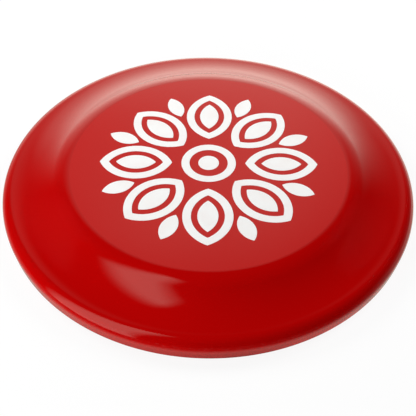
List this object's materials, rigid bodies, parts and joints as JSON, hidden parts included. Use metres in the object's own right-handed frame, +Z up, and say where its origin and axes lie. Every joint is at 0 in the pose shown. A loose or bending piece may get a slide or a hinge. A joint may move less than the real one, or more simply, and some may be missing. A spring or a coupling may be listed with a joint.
{
  "type": "flying disc",
  "caption": "Round throwing disc with a flat printed flight plate, a sloping shoulder, a level brim, a rounded lip and a thick hanging rim round an open hollow underside.",
  "frame": {"origin": "centre of the disc on the plane it rests on, which is the foot of its rim", "axes": "+Z up along the disc's axis of revolution, out of the printed plate; +X and +Y along petals of the print"},
  "size_m": [0.22, 0.22, 0.0186],
  "materials": {
    "red_plastic": "polished mould gloss, coloured through",
    "white_ink": "opaque screen-printed ink"
  },
  "bodies": {
    "root": {"disc_body": "red_plastic", "print_petals": "white_ink", "print_leaves": "white_ink", "print_darts": "white_ink", "print_ring": "white_ink", "print_dot": "white_ink"}
  },
  "joints": []
}
